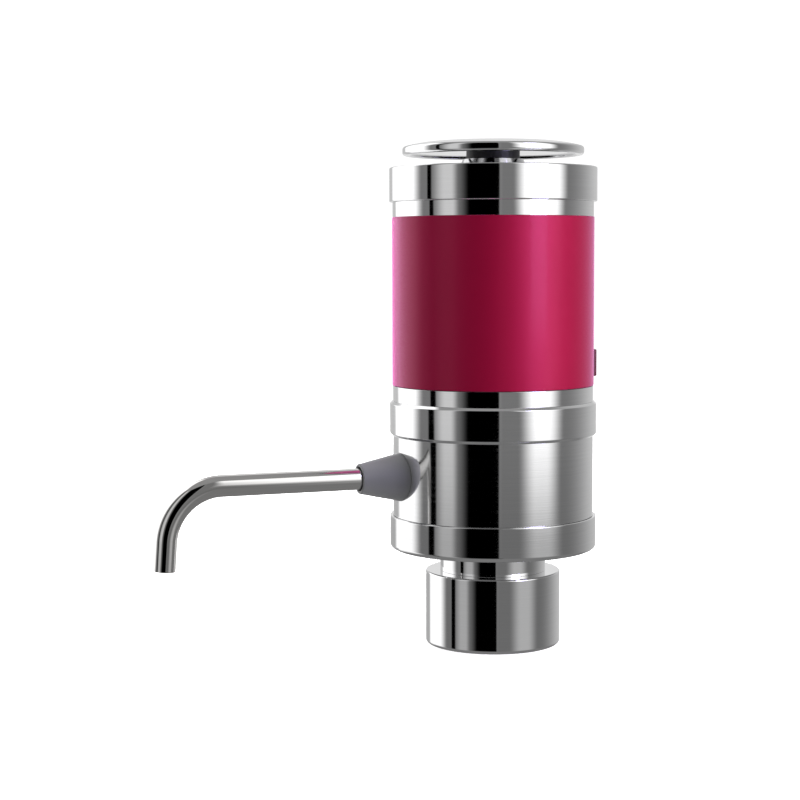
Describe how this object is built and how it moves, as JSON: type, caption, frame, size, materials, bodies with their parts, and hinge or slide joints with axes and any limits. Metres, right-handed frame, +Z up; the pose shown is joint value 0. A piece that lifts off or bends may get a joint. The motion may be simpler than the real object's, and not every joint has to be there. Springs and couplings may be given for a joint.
{
  "type": "bottle-top wine dispenser",
  "caption": "Electric wine dispenser that stands on a bottle's neck, with a bent pouring spout, a battery cover and a round push button on top.",
  "frame": {"origin": "centre of the bottle collar's rim, the mouth of the socket that takes the bottle", "axes": "+Z up along the body's axis, away from the bottle; the spout runs out along -Y and the release button is on +Y; +X is the width across the spout"},
  "size_m": [0.0584, 0.1292, 0.1421],
  "materials": {
    "chrome": "polished, with fine brushing round the body",
    "crimson_anodised": "satin anodised",
    "crimson_plastic": "satin",
    "steel_tube": "drawn tube, satin",
    "grey_rubber": "matte",
    "clear_silicone": "translucent, matte",
    "black_rubber": "matte",
    "white_plastic": "moulded",
    "black_plastic": "moulded",
    "switch_red": "moulded",
    "steel": "zinc plated",
    "magnet": "sintered",
    "contact_metal": "plated",
    "wire_red": "insulated wire",
    "board_green": "solder mask",
    "cell_label": "plain wrapper"
  },
  "bodies": {
    "base": {"bottle_collar": "chrome", "bottle_seal": "clear_silicone", "collar_nut": "black_plastic", "neck_sleeve": "chrome", "manifold": "white_plastic", "spigot_oring": "clear_silicone", "base_ring": "chrome", "lower_shell": "chrome", "trim_ring": "chrome", "lower_band": "chrome", "base_screws": "steel", "partition_deck": "black_plastic", "deck_screws": "steel", "pump_frame": "black_plastic", "damping_ring": "black_rubber", "air_check_valve": "black_rubber", "outlet_grommet": "black_rubber", "pump_cover": "white_plastic", "valve_plate": "white_plastic", "inlet_valves": "black_rubber", "outlet_valve": "black_rubber", "pump_diaphragm": "black_rubber", "pump_case": "white_plastic", "pump_screws": "steel", "motor_can": "steel", "motor_screws": "steel", "motor_magnets": "magnet", "motor_cap": "black_plastic", "motor_pad": "black_rubber", "motor_leads": "wire_red", "riser_tube": "clear_silicone", "spout_elbow": "white_plastic", "spout_oring": "clear_silicone", "lower_contacts": "contact_metal"},
    "pump_rotor": {"crank_pin": "steel", "eccentric_crank": "black_plastic", "motor_armature": "steel", "motor_shaft": "steel"},
    "pump_wobbler": {"wobble_plate": "white_plastic"},
    "spout": {"spout_tube": "steel_tube", "spout_cone": "grey_rubber"},
    "battery_cover": {"color_sleeve": "crimson_anodised", "top_band": "chrome", "top_collar": "chrome", "button_guide": "black_plastic", "battery_cage": "black_plastic", "battery_cells": "cell_label", "upper_contacts": "contact_metal", "contact_board": "board_green", "board_screws": "steel", "switch_body": "black_plastic", "button_spring": "steel", "release_spring": "steel"},
    "push_button": {"button_cap": "chrome", "button_stem": "black_plastic"},
    "switch_plunger": {"switch_plunger": "switch_red"},
    "release_button": {"release_button": "crimson_plastic"}
  },
  "joints": [
    {"name": "cover_lift", "type": "slide", "parent": "base", "child": "battery_cover", "axis": [0, 0, 1], "range_m": [0, 0.06]},
    {"name": "button_press", "type": "slide", "parent": "battery_cover", "child": "push_button", "axis": [0, 0, -1], "range_m": [0, 0.0015], "stiffness_N_per_m": 900, "springref_m": -0.0015, "deforming": ["button_spring"]},
    {"name": "plunger_press", "type": "slide", "parent": "battery_cover", "child": "switch_plunger", "axis": [0, 0, -1], "range_m": [0, 0.0015]},
    {"name": "release_press", "type": "slide", "parent": "battery_cover", "child": "release_button", "axis": [0, -1, 0], "range_m": [0, 0.0015], "stiffness_N_per_m": 500, "springref_m": -0.001, "deforming": ["release_spring"]},
    {"name": "spout_pull", "type": "slide", "parent": "base", "child": "spout", "axis": [0, -1, 0], "range_m": [0, 0.03]},
    {"name": "motor_spin", "type": "hinge", "parent": "base", "child": "pump_rotor", "pos_m": [0, 0.0105, 0.0525], "axis": [0, 0, 1], "continuous": true, "deforming": ["pump_diaphragm"]},
    {"name": "wobble_turn", "type": "hinge", "parent": "pump_rotor", "child": "pump_wobbler", "pos_m": [0, 0.0105, 0.0406], "axis": [0.1564, 0, 0.9877], "continuous": true}
  ],
  "couplings": [
    {"joint": "plunger_press", "follows": "button_press", "ratio": 1},
    {"joint": "wobble_turn", "follows": "motor_spin", "ratio": -1}
  ]
}
